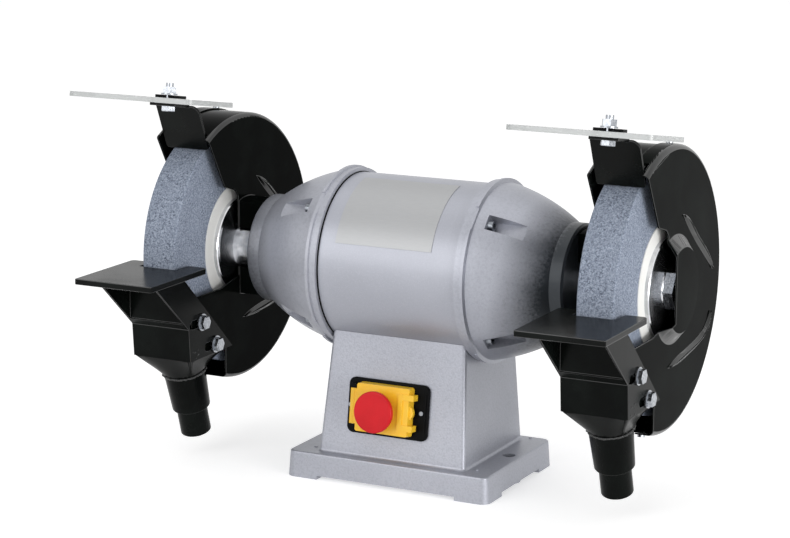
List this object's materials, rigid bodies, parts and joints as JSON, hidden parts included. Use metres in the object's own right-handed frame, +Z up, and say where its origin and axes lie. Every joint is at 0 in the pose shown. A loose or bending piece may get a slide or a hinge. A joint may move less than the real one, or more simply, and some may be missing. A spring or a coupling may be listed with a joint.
{
  "type": "bench grinder",
  "caption": "Double-ended bench grinder: a pedestal motor whose shaft carries guarded grinding wheels with tool rests, eye shields and dust ports.",
  "frame": {"origin": "on the bench, midway between the two anchor holes and straight below the shaft", "axes": "+X along the shaft towards the right-hand wheel, -Y towards the operator, +Z up"},
  "size_m": [0.622, 0.3447, 0.398],
  "materials": {
    "grey_enamel": "hammered enamel",
    "guard_black": "gloss enamel",
    "rest_black": "satin enamel",
    "zinc_bolts": "zinc plated",
    "zinc_sheet": "galvanised",
    "abrasive": "vitrified grit",
    "blotter_paper": "card",
    "turned_flange": "turned bright",
    "shaft_steel": "ground",
    "bearing_steel": "ground",
    "core_steel": "laminated",
    "copper_winding": "varnished copper",
    "capacitor_can": "drawn",
    "silver_label": "printed film",
    "black_plastic": "moulded",
    "yellow_plastic": "moulded",
    "red_plastic": "moulded",
    "green_plastic": "moulded",
    "shield_clear": "clear polycarbonate sheet"
  },
  "bodies": {
    "stand": {"base_casting": "grey_enamel", "bearing_outer_rings": "bearing_steel", "bottom_cover": "zinc_sheet", "bottom_cover_screws": "zinc_bolts", "cable_gland": "black_plastic", "capacitor": "capacitor_can", "capacitor_clip": "zinc_sheet", "cover_screws": "zinc_bolts", "flap_hinge_pin": "shaft_steel", "guard_mount_screws": "zinc_bolts", "left_end_bell": "grey_enamel", "left_guard_shell": "guard_black", "left_outer_cover": "guard_black", "left_rest_bolts": "zinc_bolts", "motor_housing": "grey_enamel", "name_plate": "silver_label", "right_end_bell": "grey_enamel", "right_guard_shell": "guard_black", "right_outer_cover": "guard_black", "right_rest_bolts": "zinc_bolts", "saddle_bolts": "zinc_bolts", "stator_core": "core_steel", "stator_windings": "copper_winding", "switch_body": "black_plastic", "switch_screws": "zinc_bolts", "tie_screws": "zinc_bolts"},
    "left_rest": {"left_rest_table": "rest_black", "left_rest_bracket": "rest_black", "left_dust_port": "rest_black"},
    "left_spark": {"left_spark_guard": "rest_black", "left_spark_guard_nuts": "zinc_bolts"},
    "left_shield": {"left_eye_shield": "shield_clear", "left_clamp_strip": "black_plastic", "left_pivot_bolt": "zinc_bolts"},
    "right_rest": {"right_rest_table": "rest_black", "right_rest_bracket": "rest_black", "right_dust_port": "rest_black"},
    "right_spark": {"right_spark_guard": "rest_black", "right_spark_guard_nuts": "zinc_bolts"},
    "right_shield": {"right_eye_shield": "shield_clear", "right_clamp_strip": "black_plastic", "right_pivot_bolt": "zinc_bolts"},
    "arbor": {"motor_shaft": "shaft_steel", "rotor_core": "core_steel", "bearing_inner_rings": "bearing_steel", "arbor_nuts": "zinc_bolts", "blotters": "blotter_paper", "left_inner_flange": "turned_flange", "right_inner_flange": "turned_flange", "left_outer_flange": "turned_flange", "right_outer_flange": "turned_flange", "left_wheel": "abrasive", "right_wheel": "abrasive"},
    "flap": {"switch_flap": "yellow_plastic"},
    "stop": {"stop_button": "red_plastic"},
    "start": {"start_button": "green_plastic"},
    "off": {"off_button": "red_plastic"}
  },
  "joints": [
    {"name": "arbor_spin", "type": "hinge", "parent": "stand", "child": "arbor", "pos_m": [0, 0, 0.217], "axis": [1, 0, 0], "continuous": true},
    {"name": "left_rest_adjust", "type": "slide", "parent": "stand", "child": "left_rest", "axis": [0, 1, 0], "range_m": [-0.01, 0.002]},
    {"name": "left_spark_adjust", "type": "slide", "parent": "stand", "child": "left_spark", "axis": [0, -0.3951, 0.9186], "range_m": [-0.0015, 0.008]},
    {"name": "left_shield_swivel", "type": "hinge", "parent": "left_spark", "child": "left_shield", "pos_m": [-0.2385, -0.101, 0.377], "axis": [0, 0.1564, 0.9877], "range_deg": [-30, 30]},
    {"name": "right_rest_adjust", "type": "slide", "parent": "stand", "child": "right_rest", "axis": [0, 1, 0], "range_m": [-0.01, 0.002]},
    {"name": "right_spark_adjust", "type": "slide", "parent": "stand", "child": "right_spark", "axis": [0, -0.3951, 0.9186], "range_m": [-0.0015, 0.008]},
    {"name": "right_shield_swivel", "type": "hinge", "parent": "right_spark", "child": "right_shield", "pos_m": [0.2385, -0.101, 0.377], "axis": [0, 0.1564, 0.9877], "range_deg": [-30, 30]},
    {"name": "flap_hinge", "type": "hinge", "parent": "stand", "child": "flap", "pos_m": [-0.041, -0.07478, 0.08009], "axis": [0, -0.1361, -0.9907], "range_deg": [0, 110]},
    {"name": "stop_push", "type": "slide", "parent": "flap", "child": "stop", "axis": [0, 0.9907, -0.1361], "range_m": [0, 0.004], "stiffness_N_per_m": 900, "springref_m": -0.001},
    {"name": "off_push", "type": "slide", "parent": "stand", "child": "off", "axis": [0, 0.9907, -0.1361], "range_m": [0, 0.003], "stiffness_N_per_m": 900, "springref_m": -0.001},
    {"name": "start_push", "type": "slide", "parent": "stand", "child": "start", "axis": [0, 0.9907, -0.1361], "range_m": [0, 0.003], "stiffness_N_per_m": 900, "springref_m": -0.001}
  ],
  "couplings": [
    {"joint": "off_push", "follows": "stop_push", "ratio": 0.75}
  ]
}
